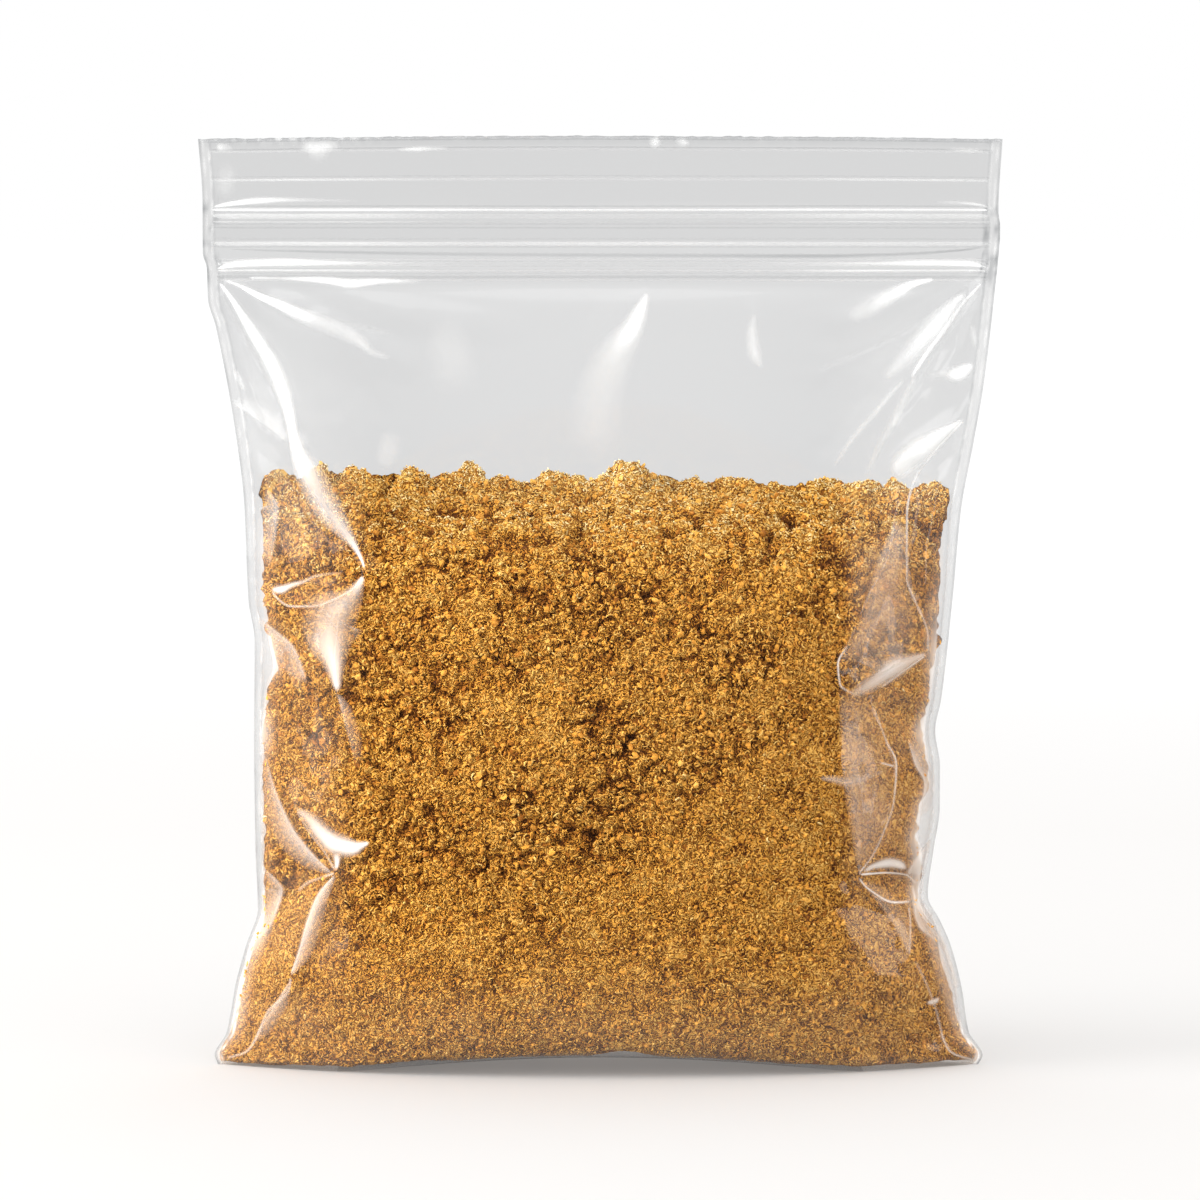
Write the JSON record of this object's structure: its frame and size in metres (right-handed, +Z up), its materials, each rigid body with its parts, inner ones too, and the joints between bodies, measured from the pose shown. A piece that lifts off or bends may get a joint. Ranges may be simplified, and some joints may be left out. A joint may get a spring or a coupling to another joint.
{
  "type": "pouch of ground cumin",
  "caption": "Clear press-to-close bag, shut and two thirds full of ground cumin, standing on its bottom with crumpled sides.",
  "frame": {"origin": "on the surface the pouch stands on, under the middle of its bounding box", "axes": "+X along the mouth to the right as seen from the front, +Y from the front to the back, +Z up"},
  "size_m": [0.178, 0.056, 0.2072],
  "materials": {
    "cumin": "dry coarse ground spice seen through clear film",
    "film": "thin clear glossy polyethylene film"
  },
  "bodies": {
    "root": {"pouch": "cumin"}
  },
  "joints": []
}
